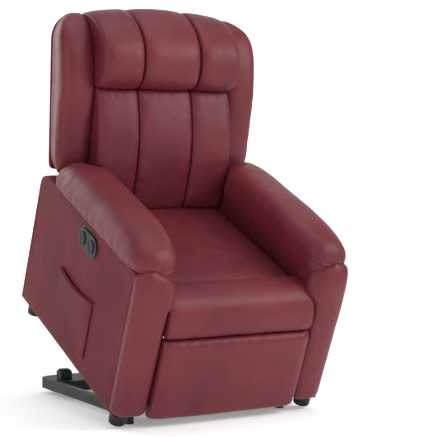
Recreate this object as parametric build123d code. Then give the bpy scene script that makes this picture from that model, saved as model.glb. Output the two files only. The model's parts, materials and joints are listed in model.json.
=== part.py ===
from build123d import *
import os
from math import sin, cos, radians, degrees, atan2, hypot

os.makedirs("parts", exist_ok=True)

# ---------------------------------------------------------------- driving dimensions (mm)
TILT = 23.5                     # tilt of the chair body in the lifted position
PIV_Y, PIV_Z = -388.0, 42.0     # front bottom edge of the side panels, seated frame
LIFT_Y, LIFT_Z = -400.8, 36.7   # where that edge stands when lifted
SHIFT_X = 3.0                   # these two put the origin under the middle of the whole object
SHIFT_Y = 107.664

ARM_OUT = 372.0                 # outer face of the side panels
ARM_IN = 262.0                  # inner face of the arm boxes
PANEL_REAR = 388.0
PANEL_TOP = 506.0

RAIL_IN, RAIL_OUT = 264.5, 285.0
RAIL_Z0, RAIL_Z1 = 20.0, 55.0
BASE_FRONT, BASE_REAR = -320.0, 374.0
REAR_FRONT = 214.0              # front face of the rear base member

A = (-247.14, 62.0)             # lift arm pivot on the base (lifted, floor frame)
B = (-218.03, 288.46)           # lift arm to carriage
C = (-265.11, 38.0)             # front link pivot on the base
D = (-259.34, 182.84)           # front link to carriage (open pivot)
B_CH = (-120.0, 200.0)          # B and D in the seated chair frame
D_CH = (-200.0, 119.6)
E = (270.0, 90.0)               # actuator rear pivot
F_R, F_ANG = 105.0, 105.0       # actuator front pivot on the lift arm
F = (A[0] + F_R * cos(radians(F_ANG)), A[1] + F_R * sin(radians(F_ANG)))
STROKE = 80.7

LEG_PIVOT = (-322.6, 377.0)     # leg rest hinge, seated frame
BACK_PIVOT = (300.0, 470.0)     # backrest hinge, seated frame
PIN_R = 6.0
RUN = 0.06                      # radial running clearance

# ---------------------------------------------------------------- helpers


def box(x0, x1, y0, y1, z0, z1):
    return Pos((x0 + x1) / 2, (y0 + y1) / 2, (z0 + z1) / 2) * Box(abs(x1 - x0), abs(y1 - y0), abs(z1 - z0))


def cylx(y, z, r, x0, x1):
    return Pos((x0 + x1) / 2, y, z) * Rot(0, 90, 0) * Cylinder(r, abs(x1 - x0))


def cylz(x, y, r, z0, z1):
    return Pos(x, y, (z0 + z1) / 2) * Cylinder(r, abs(z1 - z0))


def polyx(pts, x0, x1):
    lo, hi = min(x0, x1), max(x0, x1)
    return extrude(Plane.YZ.offset(lo) * Polygon(*pts, align=None), hi - lo, dir=(1, 0, 0))


def polyy(pts, y0, y1):
    """pts are (x, z); extruded along +Y."""
    lo, hi = min(y0, y1), max(y0, y1)
    face = Plane(origin=(0, lo, 0), x_dir=(1, 0, 0), z_dir=(0, -1, 0)) * Polygon(*pts, align=None)
    return extrude(face, hi - lo, dir=(0, 1, 0))


def soft(shape, r, axis=None):
    """Round the edges of a soft piece; falls back to smaller radii."""
    for k in (1.0, 0.7, 0.45, 0.25):
        try:
            edges = shape.edges() if axis is None else shape.edges().filter_by(axis)
            out = fillet(edges, r * k)
            if out.is_valid and out.volume > 0:
                return out
        except Exception:
            pass
    return shape


def flip(shape):
    return mirror(shape, Plane.YZ)


def bar(p, q, w, x0, x1):
    """Flat bar with round ends between two points in the YZ plane."""
    a = atan2(q[1] - p[1], q[0] - p[0])
    n = (-sin(a) * w / 2, cos(a) * w / 2)
    pts = [(p[0] + n[0], p[1] + n[1]), (q[0] + n[0], q[1] + n[1]), (q[0] - n[0], q[1] - n[1]), (p[0] - n[0], p[1] - n[1])]
    return polyx(pts, x0, x1) + cylx(p[0], p[1], w / 2, x0, x1) + cylx(q[0], q[1], w / 2, x0, x1)


def group(*shapes):
    out = []
    for s in shapes:
        out += list(s.solids())
    return Compound(out) if len(out) > 1 else out[0]


FLOOR = Pos(SHIFT_X, SHIFT_Y, 0)
CHAIR = Pos(SHIFT_X, SHIFT_Y, 0) * Pos(0, LIFT_Y, LIFT_Z) * Rot(TILT, 0, 0) * Pos(0, -PIV_Y, -PIV_Z)

nodes = {}


def add(name, shape, frame):
    nodes[name] = (shape, frame)


def pair(name, shape, frame):
    """shape is the +X (right) one; the left one is its mirror image."""
    add(name + "_right", shape, frame)
    add(name + "_left", flip(shape), frame)


def both(name, shape, frame):
    """The right piece and its mirror image, two solids in one node."""
    add(name, group(shape, flip(shape)), frame)


# ---------------------------------------------------------------- base frame
rail = box(RAIL_IN, RAIL_OUT, BASE_FRONT, REAR_FRONT - 0.2, RAIL_Z0, RAIL_Z1)
rail = fillet(rail.edges().filter_by(Axis.Y), 2.5)
rail = rail - box(RAIL_IN + 2, RAIL_OUT - 2, BASE_FRONT - 1, REAR_FRONT + 1, RAIL_Z0 + 2, RAIL_Z1 - 2)
both("base_rails", rail, FLOOR)

caps = box(RAIL_IN + 2.1, RAIL_OUT - 2.1, BASE_FRONT + 0.1, BASE_FRONT + 18, RAIL_Z0 + 2.1, RAIL_Z1 - 2.1)
add("rail_end_plugs", group(caps, flip(caps)), FLOOR)

rear = box(-RAIL_OUT, RAIL_OUT, REAR_FRONT, BASE_REAR, RAIL_Z0, RAIL_Z1)
rear = fillet(rear.edges().filter_by(Axis.Z).sort_by(Axis.Y)[-2:], 42)
rear = fillet(rear.faces().sort_by(Axis.Z)[-1].edges(), 3)
rear = rear - box(-RAIL_OUT + 42, RAIL_OUT - 42, REAR_FRONT + 3, BASE_REAR - 3, RAIL_Z0 + 3, RAIL_Z1 - 3)
add("base_rear_member", rear, FLOOR)

cross = box(-RAIL_IN + 0.1, RAIL_IN - 0.1, -238, -198, RAIL_Z0, 39.5)
cross = fillet(cross.edges().filter_by(Axis.X), 2.5)
cross = cross - box(-RAIL_IN - 1, RAIL_IN + 1, -236, -200, RAIL_Z0 + 2, 37.5)
add("base_front_cross_tube", cross, FLOOR)

ff = box(263.5, 286, BASE_FRONT, -268, 0, RAIL_Z0)
ff = fillet(ff.edges().filter_by(Axis.Z), 3)
add("base_front_feet", group(ff, flip(ff)), FLOOR)

gl = cylz(188, 330, 16, 0, 12) + cylz(188, 330, 7, 12, RAIL_Z0 + 0.0)
gl = fillet(gl.edges().filter_by(GeomType.CIRCLE).sort_by(Axis.Z)[0], 2.5)
add("base_rear_glides", group(gl, flip(gl)), FLOOR)

stop = box(206, 248, 262, 304, RAIL_Z1, 82)
stop = fillet(stop.edges().filter_by(Axis.Z), 4)
stop = stop - box(211, 243, 267, 299, RAIL_Z1 - 1, 77)
both("base_stop_blocks", stop, FLOOR)
buf = box(210, 244, 266, 300, 82.0, 88)
buf = fillet(buf.edges().filter_by(Axis.Z), 6)
add("stop_buffers", group(buf, flip(buf)), FLOOR)

tower_pts = [(-281, 22), (-238.2, 22), (-238.2, 39.7), (-204, 39.7), (-204, 54), (-226, 62), (-231, 79), (-262, 79), (-281, 54)]


def tower(x0, x1, holes):
    t = polyx(tower_pts, x0, x1)
    for h in holes:
        t = t - cylx(h[0], h[1], PIN_R + RUN, x0 - 1, x1 + 1)
    return t


tw = [tower(212, 217, [A]), tower(231, 236, [A, C]), tower(248, 253, [C])]
add("base_pivot_plates", group(*tw, *[flip(t) for t in tw]), FLOOR)

pa = cylx(A[0], A[1], PIN_R, 209, 238) + cylx(A[0], A[1], 9, 207, 211.6)
pc = cylx(C[0], C[1], PIN_R, 229.4, 258) + cylx(C[0], C[1], 9, 253.4, 258)
add("base_pins", group(pa, flip(pa), pc, flip(pc)), FLOOR)

lug = polyx([(252, RAIL_Z1), (290, RAIL_Z1), (283, 96), (276, 103), (264, 103), (257, 96)], 21, 26)
lug = lug - cylx(E[0], E[1], PIN_R + RUN, 15, 30)
plate = box(-34, 34, 246, 296, RAIL_Z1, RAIL_Z1 + 4)
brk = (lug + flip(lug)) - box(-40, 40, 240, 300, RAIL_Z1 - 1, RAIL_Z1 + 4)
brk = brk + plate
add("actuator_rear_bracket", brk, FLOOR)
add("actuator_rear_pin", cylx(E[0], E[1], PIN_R, -30, 30) + cylx(E[0], E[1], 9, 26.4, 31), FLOOR)

# ---------------------------------------------------------------- lift arms
arm = bar(A, B, 34, 220, 228)
arm = arm - cylx(A[0], A[1], PIN_R + RUN, 210, 240) - cylx(B[0], B[1], PIN_R + RUN, 210, 240)
both("lift_arms", arm, FLOOR)

arm_a = atan2(B[1] - A[1], B[0] - A[0])
TT = (A[0] + 46 * cos(arm_a), A[1] + 46 * sin(arm_a))
tube = cylx(TT[0], TT[1], 15, -219.9, 219.9) - cylx(TT[0], TT[1], 12, -221, 221)
add("lift_torsion_tube", tube, FLOOR)
crank = bar(TT, F, 36, 14, 20)
crank = crank - cylx(TT[0], TT[1], 15.02, 10, 25) - cylx(F[0], F[1], PIN_R + RUN, 10, 25)
add("lift_crank_plates", group(crank, flip(crank)), FLOOR)
add("actuator_front_pin", cylx(F[0], F[1], PIN_R, -24, 24) + cylx(F[0], F[1], 9, 20.4, 25), FLOOR)

# ---------------------------------------------------------------- front links
link = bar(C, D, 26, 239, 245)
link = link - cylx(C[0], C[1], PIN_R + RUN, 230, 250) - cylx(D[0], D[1], PIN_R + 0.6, 230, 250)
pair("front_link", link, FLOOR)

# ---------------------------------------------------------------- lift actuator
L_EF = hypot(F[0] - E[0], F[1] - E[1])
ACT_ANG = atan2(F[1] - E[1], F[0] - E[0])
# local frame: +Z along the actuator from E to F, X as the chair's X
ACT = Pos(0, E[0], E[1]) * Rot(degrees(ACT_ANG) - 90, 0, 0)


def act(shape):
    return ACT * shape


gear = box(-20, 20, -13, 13, -13, 20) + box(-32, 32, -30, 30, 20, 92)
gear = soft(gear, 3)
gear = gear - Rot(0, 90, 0) * Cylinder(PIN_R + RUN, 80)
gear = gear - Pos(0, 0, 80) * Cylinder(10.6, 30)
add("actuator_gearbox", act(gear), FLOOR)
motor = Pos(60, 0, 40 + 62.5) * Cylinder(23.5, 125)
motor = fillet(motor.edges().filter_by(GeomType.CIRCLE), 4)
add("actuator_motor", act(motor), FLOOR)
sleeve = Pos(0, 0, (92 + 425) / 2) * Cylinder(17, 425 - 92) - Pos(0, 0, (92 + 425) / 2) * Cylinder(10.6, 425 - 92 + 2)
sleeve = sleeve + (Pos(0, 0, 418) * Cylinder(19.5, 14) - Pos(0, 0, 418) * Cylinder(10.6, 20))
add("actuator_tube", act(sleeve), FLOOR)
saddle = box(32.2, 36.3, -16, 16, 42, 84)
add("actuator_motor_saddle", act(saddle), FLOOR)
rod = Pos(0, 0, (185 + L_EF - 22) / 2) * Cylinder(10, L_EF - 22 - 185)
add("actuator_rod", act(rod), FLOOR)
eye = box(-11, 11, -15, 23, L_EF - 22, L_EF + 13)
eye = soft(eye, 3)
slot = Pos(0, 0, L_EF) * Rot(0, 90, 0) * Cylinder(PIN_R + 0.7, 60)
slot2 = Pos(0, 8.2, L_EF) * Rot(0, 90, 0) * Cylinder(PIN_R + 0.7, 60)
eye = eye - slot - slot2 - box(-30, 30, 0, 8.2, L_EF - PIN_R - 0.7, L_EF + PIN_R + 0.7)
add("actuator_rod_eye", act(eye), FLOOR)

# ---------------------------------------------------------------- carriage (seated chair frame)
side_pts = [(-218, 104), (-182, 104), (-140, 160), (200, 160), (200, 106), (262, 106), (262, 160), (300, 160), (300, 290), (-218, 290)]
sp = polyx(side_pts, 231, 236)
sp = sp - cylx(B_CH[0], B_CH[1], PIN_R + RUN, 225, 240) - cylx(D_CH[0], D_CH[1], PIN_R + RUN, 225, 240)
both("carriage_side_plates", sp, CHAIR)
p1 = polyx([(-140, 190), (-133, 183), (-107, 183), (-100, 190), (-100, 221.8), (-140, 221.8)], 212, 217)
p1 = p1 - cylx(B_CH[0], B_CH[1], PIN_R + RUN, 205, 225)
both("carriage_inner_lugs", p1, CHAIR)
p3 = polyx([(-218, 104), (-182, 104), (-182, 290), (-218, 290)], 248, ARM_IN - 0.2)
p3 = p3 - cylx(D_CH[0], D_CH[1], PIN_R + RUN, 240, 270)
both("carriage_outer_blocks", p3, CHAIR)
pb = cylx(B_CH[0], B_CH[1], PIN_R, 209, 238) + cylx(B_CH[0], B_CH[1], 9, 207, 211.6)
pd = cylx(D_CH[0], D_CH[1], PIN_R, 229.4, 261)
add("carriage_pins", group(pb, flip(pb), pd, flip(pd)), CHAIR)


def rect_tube(y0, y1, z0, z1, half):
    t = box(-half, half, y0, y1, z0, z1)
    t = fillet(t.edges().filter_by(Axis.X), 2.5)
    return t - box(-half - 1, half + 1, y0 + 2, y1 - 2, z0 + 2, z1 - 2)


add("carriage_front_tube", rect_tube(-140, -100, 222, 247, 230.8), CHAIR)
add("carriage_rear_tube", rect_tube(262, 292, 200, 225, 230.8), CHAIR)

# seat frame on top of the carriage plates
sr = box(231, 255, -250, 300, 290.2, 330)
both("seat_side_rails", sr, CHAIR)
add("seat_front_rail", box(-230.8, 230.8, -250, -228, 290.2, 330), CHAIR)
add("seat_rear_rail", box(-230.8, 230.8, 278, 300, 290.2, 330), CHAIR)
straps = [box(-252, 252, y - 25, y + 25, 330.2, 332.4) for y in (-190, -100, -10, 80, 170, 260)]
add("seat_webbing", group(*straps), CHAIR)
add("seat_front_board", box(-244, 244, -264, -250.4, 262, 332), CHAIR)

# seat cushion and the front roll above the leg rest
seat = box(-249, 249, -263, 292, 332.8, 428)
seat = soft(seat, 20)
add("seat_cushion", seat, CHAIR)
roll = (cylx(-305, 355, 72, -246, 246) - box(-260, 260, -264.4, -200, 250, 460)
        - box(-260, 260, -400, -200, 250, 302))
roll = soft(roll, 8)
add("seat_front_roll", roll, CHAIR)

# arm boxes
ob = polyx([(-334, 48), (372, 48), (372, 440), (336, 487.8), (-334, 487.8)], 354, 366)
both("arm_outer_boards", ob, CHAIR)
ib = polyx([(-334, 66), (372, 66), (372, 440), (336, 487.8), (-334, 487.8)], ARM_IN, 274)
both("arm_inner_boards", ib, CHAIR)
fb = box(ARM_IN, 366, -346, -334.2, 66, 487.8)
both("arm_front_boards", fb, CHAIR)
rb = box(274.2, 353.8, 360, 372, 66, 438)
both("arm_rear_boards", rb, CHAIR)
tb = box(ARM_IN, 366, -346, 336, 488, 500)
both("arm_top_boards", tb, CHAIR)

# side panels (outer covers)
skin = polyx([(-346, 42), (PANEL_REAR, 42), (PANEL_REAR, PANEL_TOP), (-346, PANEL_TOP)], 366.2, ARM_OUT)
skin = fillet(skin.edges().filter_by(Axis.X).group_by(Axis.Y)[-1].sort_by(Axis.Z)[-1], 45)
pair("side_panel", skin, CHAIR)
rc = box(ARM_IN, 366, 372.2, PANEL_REAR, 60, 437)
both("arm_rear_covers", rc, CHAIR)

# arm front bolsters
prof = [(ARM_IN, 42), (ARM_OUT, 42), (ARM_OUT + 2, 250), (ARM_OUT + 3, 440), (368, 484), (345, 514), (312, 522), (276, 508), (246, 474), (236, 438), (241, 408), (255, 380), (ARM_IN, 356)]
bol = polyy(prof, -388, -346.2)
bol = soft(bol, 9)
bol = bol - box(190, 251, -378.5, -300, 340, 440) - box(200, ARM_IN, -400, -300, 30, 330) - box(190, 253.4, -400, -300, 330, 399.5) - box(256, 291, -377, -300, 30, 64)
pair("arm_front_bolster", bol, CHAIR)

# arm pads
padp = [(-360, 530), (-352, 560), (-300, 594), (-200, 608), (20, 612), (200, 609), (262, 598), (284, 570), (286, 525), (276, 508), (-300, 508), (-341, 526)]
pad = polyx(padp, 214, 377)
pad = soft(pad, 20)
pad = pad - box(200, 248, 226, 320, 480, 640)
pad = pad - box(200, 400, -390, -345.8, 480, 523)
pair("arm_pad", pad, CHAIR)

# inner arm panels
ia = box(251, 261.8, -300, 204, 384, 506)
ia = soft(ia, 4.5, Axis.Y)
both("arm_inner_panels", ia, CHAIR)
# rear cover between the arm boxes
add("rear_panel", box(-261.8, 261.8, 374, 384, 60, 415), CHAIR)

# chair feet
ft = cylz(335, -345, 27, 0, 38)
ft = fillet(ft.edges().filter_by(GeomType.CIRCLE).sort_by(Axis.Z)[0], 7)
fr = cylz(335, 335, 27, 0, 38)
fr = fillet(fr.edges().filter_by(GeomType.CIRCLE).sort_by(Axis.Z)[0], 7)
add("chair_feet", group(ft, flip(ft), fr, flip(fr)), CHAIR)
fp = box(302, 364, -376, -300, 38.1, 41.8) + box(302, 353.8, -334, -300, 41.8, 66)
fq = box(302, 364, 300, 376, 38.1, 41.8) + box(302, 353.8, 300, 359.8, 41.8, 66)
add("foot_mounts", group(fp, flip(fp), fq, flip(fq)), CHAIR)

# side pocket on the left panel
py0, py1, pz0, pz1 = -129.0, 122.0, 94.0, 300.0
pk = box(-383, -380.4, py0, py1, pz0, pz1) + box(-381, -ARM_OUT - 0.1, py0, py0 + 4, pz0, pz1)
pk = pk + box(-381, -ARM_OUT - 0.1, py1 - 4, py1, pz0, pz1) + box(-381, -ARM_OUT - 0.1, py0, py1, pz0, pz0 + 4)
add("side_pocket", pk, CHAIR)

# hand switch on the left panel
sy, sz = -23.0, 452.0
swp = Pos(-ARM_OUT - 6.1, sy, sz) * (Rot(0, 90, 0) * extrude(SlotOverall(134, 66, rotation=90), 6))
for dy in (-32, 32):
    swp = swp - cylx(sy + dy, sz, 20.4, -ARM_OUT - 7, -ARM_OUT - 1.6)
add("switch_plate", swp, CHAIR)
b1 = cylx(sy - 32, sz, 20, -ARM_OUT - 8.6, -ARM_OUT - 4.2)
b2 = cylx(sy + 32, sz, 20, -ARM_OUT - 8.6, -ARM_OUT - 4.2)
b1 = fillet(b1.edges().filter_by(GeomType.CIRCLE).sort_by(Axis.X)[0], 1.2)
b2 = fillet(b2.edges().filter_by(GeomType.CIRCLE).sort_by(Axis.X)[0], 1.2)
add("switch_button_front", b1, CHAIR)
add("switch_button_rear", b2, CHAIR)

# power inlet on the rear of the left arm box
inl = box(-330, -290, PANEL_REAR + 0.1, PANEL_REAR + 6, 96, 124) - Pos(-310, PANEL_REAR + 5, 110) * Rot(90, 0, 0) * Cylinder(8, 6)
add("power_inlet", inl, CHAIR)

# ---------------------------------------------------------------- leg rest
lb = box(-254, 254, -374, -364, 46, 296)
add("legrest_board", lb, CHAIR)
lp = box(-258, 258, -412, -374.2, 33, 303)
lp = soft(lp, 17)
add("legrest_pad", lp, CHAIR)
la_pts = [(-308, 372), (-316, 391), (-330, 391), (-342, 372), (-354, 330), (-363.6, 292), (-363.6, 66), (-350, 66), (-346, 270), (-330, 340)]
la = polyx(la_pts, 247.5, 252.5) - cylx(LEG_PIVOT[0], LEG_PIVOT[1], PIN_R + RUN, 240, 270)
both("legrest_side_arms", la, CHAIR)
lt = cylx(-345, 268, 9, -247.3, 247.3) - cylx(-345, 268, 7, -249, 249)
add("legrest_cross_tube", lt, CHAIR)
lbr = box(255, ARM_IN - 0.2, -343, -302, 358, 396)
lbr = lbr - cylx(LEG_PIVOT[0], LEG_PIVOT[1], PIN_R + RUN, 240, 270)
both("legrest_brackets", lbr, CHAIR)
lpin = cylx(LEG_PIVOT[0], LEG_PIVOT[1], PIN_R, 246.8, 261.6)
add("legrest_pins", group(lpin, flip(lpin)), CHAIR)

# ---------------------------------------------------------------- backrest
# slide rails and sliders
rl = box(256, ARM_IN - 0.2, 212, 384, 458, 482)
both("recline_rails", rl, CHAIR)
sl = box(249.5, 255.7, 270, 330, 456, 484) + cylx(BACK_PIVOT[0], BACK_PIVOT[1], PIN_R, 240.5, 250)
both("recline_sliders", sl, CHAIR)
bb = polyx([(286, 462), (296, 452), (318, 455), (345, 500), (379, 600), (352, 600), (316, 500)], 243, 248.5)
bb = bb - cylx(BACK_PIVOT[0], BACK_PIVOT[1], PIN_R + RUN, 235, 255)
both("recline_brackets", bb, CHAIR)

up = polyx([(352, 520), (378, 512), (533, 958), (508, 967)], 214, 242.8)
both("back_uprights", up, CHAIR)
add("back_lower_rail", polyx([(333, 463), (358, 455), (370, 489.5), (345, 498)], -242.8, 242.8), CHAIR)
add("back_upper_rail", polyx([(500.4, 945), (525.2, 936), (533, 958), (508, 967)], -213.8, 213.8), CHAIR)
bstr = [polyx([(361 + k * 34, 545.6 + k * 98), (363.2 + k * 34, 545 + k * 98), (374.6 + k * 34, 578 + k * 98), (372.4 + k * 34, 578.8 + k * 98)], -213.8, 213.8) for k in range(4)]
add("back_webbing", group(*bstr), CHAIR)

rcv = polyx([(386.5, 516), (399, 512), (569, 1002), (556.5, 1006)], -352, 352)
rcv = soft(rcv, 5)
add("back_rear_cover", rcv, CHAIR)

lumb = [(236, 440), (243, 520), (252, 610), (279, 691), (338, 800), (362, 806), (446, 806), (341, 506), (322, 446), (262, 434)]


def lumbar(x0, x1):
    s = polyx(lumb, x0, x1)
    return soft(s, 12)


add("lumbar_channel_centre", lumbar(-99, 99), CHAIR)
pair("lumbar_channel", lumbar(100.4, 239.5), CHAIR)

head = [(346, 813), (318, 850), (314, 900), (336, 960), (378, 1012), (440, 1042), (500, 1047), (546, 1034), (556, 1018), (556, 1010), (544, 978), (506, 974), (450, 813)]


def headrest(x0, x1):
    s = polyx(head, x0, x1)
    return soft(s, 12)


add("headrest_centre", headrest(-104, 104), CHAIR)
pair("headrest", headrest(105.4, 246), CHAIR)

wing = [(300, 541), (310, 522), (384, 518), (552, 1002), (536, 1032), (508, 1044), (474, 1036), (440, 985), (362, 806)]
ws = polyx(wing, 249, 368)
try:
    e = ws.edges().filter_by(lambda q: q.center().X > 360)
    ws = fillet(e, 26)
except Exception:
    pass
ws = soft(ws, 8) if len(ws.edges()) < 20 else ws
ws = ws - polyx([(384, 500), (399, 500), (575, 1010), (560, 1015)], 200, 400)
pair("back_wing", ws, CHAIR)

# ---------------------------------------------------------------- pieces that share a node, each still its own solid
JOINED = {
    "base_rails": ["base_rails", "base_front_cross_tube"],
    "base_feet": ["base_front_feet", "base_rear_glides"],
    "base_pivots": ["base_pivot_plates", "base_pins"],
    "actuator_rear_mount": ["actuator_rear_bracket", "actuator_rear_pin"],
    "actuator_motor_unit": ["actuator_gearbox", "actuator_motor", "actuator_motor_saddle"],
    "actuator_rod": ["actuator_rod", "actuator_rod_eye"],
    "lift_torsion_tube": ["lift_torsion_tube", "lift_crank_plates", "actuator_front_pin"],
    "carriage_plates": ["carriage_side_plates", "carriage_inner_lugs", "carriage_outer_blocks"],
    "carriage_cross_tubes": ["carriage_front_tube", "carriage_rear_tube"],
    "seat_frame_rails": ["seat_side_rails", "seat_front_rail", "seat_rear_rail", "seat_front_board"],
    "rear_panels": ["rear_panel", "arm_rear_covers"],
    "back_frame": ["back_uprights", "back_lower_rail", "back_upper_rail", "recline_brackets"],
    "legrest_brackets": ["legrest_brackets", "legrest_pins"],
    "legrest_frame": ["legrest_side_arms", "legrest_cross_tube"],
    "stop_buffers": ["stop_buffers"],
}
for new, old in JOINED.items():
    frame = nodes[old[0]][1]
    shapes = [nodes.pop(n)[0] for n in old]
    nodes[new] = (group(*shapes), frame)
boards = [nodes.pop(n)[0] for n in ("arm_outer_boards", "arm_inner_boards", "arm_front_boards", "arm_rear_boards", "arm_top_boards")]
every = [s for b in boards for s in b.solids()]
nodes["arm_box_boards_right"] = (group(*[s for s in every if s.center().X > 0]), CHAIR)
nodes["arm_box_boards_left"] = (group(*[s for s in every if s.center().X < 0]), CHAIR)

# ---------------------------------------------------------------- export
for name, (shape, frame) in nodes.items():
    placed = [s.moved(frame) for s in shape.solids()]
    export_step(placed[0] if len(placed) == 1 else Compound(placed), "parts/" + name + ".step")
whole = Compound([s.moved(frame) for shape, frame in nodes.values() for s in shape.solids()]).bounding_box()
print(len(nodes), "nodes; middle of the whole object at", round(whole.center().X, 3), round(whole.center().Y, 3), "lowest", round(whole.min.Z, 3))
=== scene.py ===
import bpy, bmesh, json, math
import numpy as np
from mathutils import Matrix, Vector, noise


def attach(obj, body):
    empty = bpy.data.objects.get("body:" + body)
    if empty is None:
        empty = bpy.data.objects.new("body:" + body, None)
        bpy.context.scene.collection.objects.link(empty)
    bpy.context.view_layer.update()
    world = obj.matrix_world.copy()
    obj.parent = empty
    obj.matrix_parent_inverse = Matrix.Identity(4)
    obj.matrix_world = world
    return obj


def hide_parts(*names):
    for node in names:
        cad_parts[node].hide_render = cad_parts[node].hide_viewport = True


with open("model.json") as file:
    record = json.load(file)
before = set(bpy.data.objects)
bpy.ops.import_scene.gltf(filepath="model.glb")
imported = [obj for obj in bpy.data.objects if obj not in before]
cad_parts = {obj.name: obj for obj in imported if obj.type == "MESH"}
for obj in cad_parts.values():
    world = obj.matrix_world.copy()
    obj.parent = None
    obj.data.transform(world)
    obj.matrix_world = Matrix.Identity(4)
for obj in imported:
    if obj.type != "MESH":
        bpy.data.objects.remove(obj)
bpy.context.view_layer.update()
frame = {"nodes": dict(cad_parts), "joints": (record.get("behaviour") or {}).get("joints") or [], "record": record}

scene = bpy.context.scene
nodes = frame["nodes"]
joints = {j["name"]: j for j in frame["joints"]}

# ------------------------------------------------------------------ the chair's own frame
# The chair body stands tilted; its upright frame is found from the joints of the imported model.
ax = joints["back_shift"]["axis"]
TC, TS = ax[1], ax[2]
LP = joints["legrest_swing"]["pos_m"]          # is (y, z) = (-322.6, 377) mm in the upright frame
X0 = LP[0]


def CH(p):
    """Points in the upright chair frame, mm, to the row frame, m. p is (n, 3)."""
    p = np.asarray(p, float).reshape(-1, 3)
    y, z = (p[:, 1] + 322.6) / 1000.0, (p[:, 2] - 377.0) / 1000.0
    return np.stack([p[:, 0] / 1000.0 + X0, LP[1] + y * TC - z * TS, LP[2] + y * TS + z * TC], 1)


def CHdir(d):
    return Vector((d[0], d[1] * TC - d[2] * TS, d[1] * TS + d[2] * TC))


# ------------------------------------------------------------------ camera and light
cam_data = bpy.data.cameras.new("camera")
cam = bpy.data.objects.new("camera", cam_data)
scene.collection.objects.link(cam)
cam_data.sensor_width = 36.0
cam_data.lens = 115.5
az, el = math.radians(-30.4), math.radians(2.6)
back = Vector((math.sin(az) * math.cos(el), -math.cos(az) * math.cos(el), math.sin(el)))
cam.location = (-2.205 + 0.003, -4.142 + 0.107664, 0.827)
cam.rotation_mode = "QUATERNION"
cam.rotation_quaternion = (-back).to_track_quat("-Z", "Y")
cam_data.clip_start, cam_data.clip_end = 0.1, 60
scene.camera = cam
scene.view_settings.view_transform = "Standard"


def area(name, loc, target, size, power, color=(1, 1, 1)):
    d = bpy.data.lights.new(name, "AREA")
    d.shape = "RECTANGLE"
    d.size, d.size_y = size
    d.energy = power
    d.color = color
    o = bpy.data.objects.new(name, d)
    scene.collection.objects.link(o)
    o.location = loc
    o.rotation_mode = "QUATERNION"
    o.rotation_quaternion = (Vector(target) - Vector(loc)).to_track_quat("-Z", "Y")
    return o


area("key", (2.6, -2.9, 2.6), (0, 0, 0.7), (1.6, 2.2), 110)
area("fill", (-3.6, -2.2, 1.6), (0, 0, 0.6), (2.4, 2.4), 46)
area("top", (0.0, -0.6, 4.0), (0, 0, 0.4), (3.0, 3.0), 54)
area("rim", (-1.6, 3.2, 2.2), (0, 0, 0.8), (2.0, 2.0), 30)
world = bpy.data.worlds.new("studio")
scene.world = world
world.use_nodes = True
bg = world.node_tree.nodes["Background"]
bg.inputs[0].default_value = (1.0, 1.0, 1.0, 1)
bg.inputs[1].default_value = 0.40

# ------------------------------------------------------------------ materials


def material(name):
    m = bpy.data.materials.new(name)
    m.use_nodes = True
    nt = m.node_tree
    for n in list(nt.nodes):
        nt.nodes.remove(n)
    out = nt.nodes.new("ShaderNodeOutputMaterial")
    bsdf = nt.nodes.new("ShaderNodeBsdfPrincipled")
    nt.links.new(bsdf.outputs[0], out.inputs[0])
    return m, nt, bsdf


def ramp(nt, fac, stops):
    r = nt.nodes.new("ShaderNodeValToRGB")
    while len(r.color_ramp.elements) < len(stops):
        r.color_ramp.elements.new(0.5)
    for e, (pos, col) in zip(r.color_ramp.elements, stops):
        e.position = pos
        e.color = (*col, 1) if len(col) == 3 else col
    nt.links.new(fac, r.inputs[0])
    return r.outputs[0]


def tex_noise(nt, vec, scale, detail=4, rough=0.55, distortion=0.0):
    t = nt.nodes.new("ShaderNodeTexNoise")
    t.inputs["Scale"].default_value = scale
    t.inputs["Detail"].default_value = detail
    t.inputs["Roughness"].default_value = rough
    t.inputs["Distortion"].default_value = distortion
    nt.links.new(vec, t.inputs["Vector"])
    return t.outputs["Fac"]


def bump(nt, height, strength, distance, normal=None):
    b = nt.nodes.new("ShaderNodeBump")
    b.inputs["Strength"].default_value = strength
    b.inputs["Distance"].default_value = distance
    nt.links.new(height, b.inputs["Height"])
    if normal is not None:
        nt.links.new(normal, b.inputs["Normal"])
    return b.outputs[0]


def maprange(nt, fac, lo, hi):
    r = nt.nodes.new("ShaderNodeMapRange")
    r.inputs["To Min"].default_value = lo
    r.inputs["To Max"].default_value = hi
    nt.links.new(fac, r.inputs[0])
    return r.outputs[0]


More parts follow.
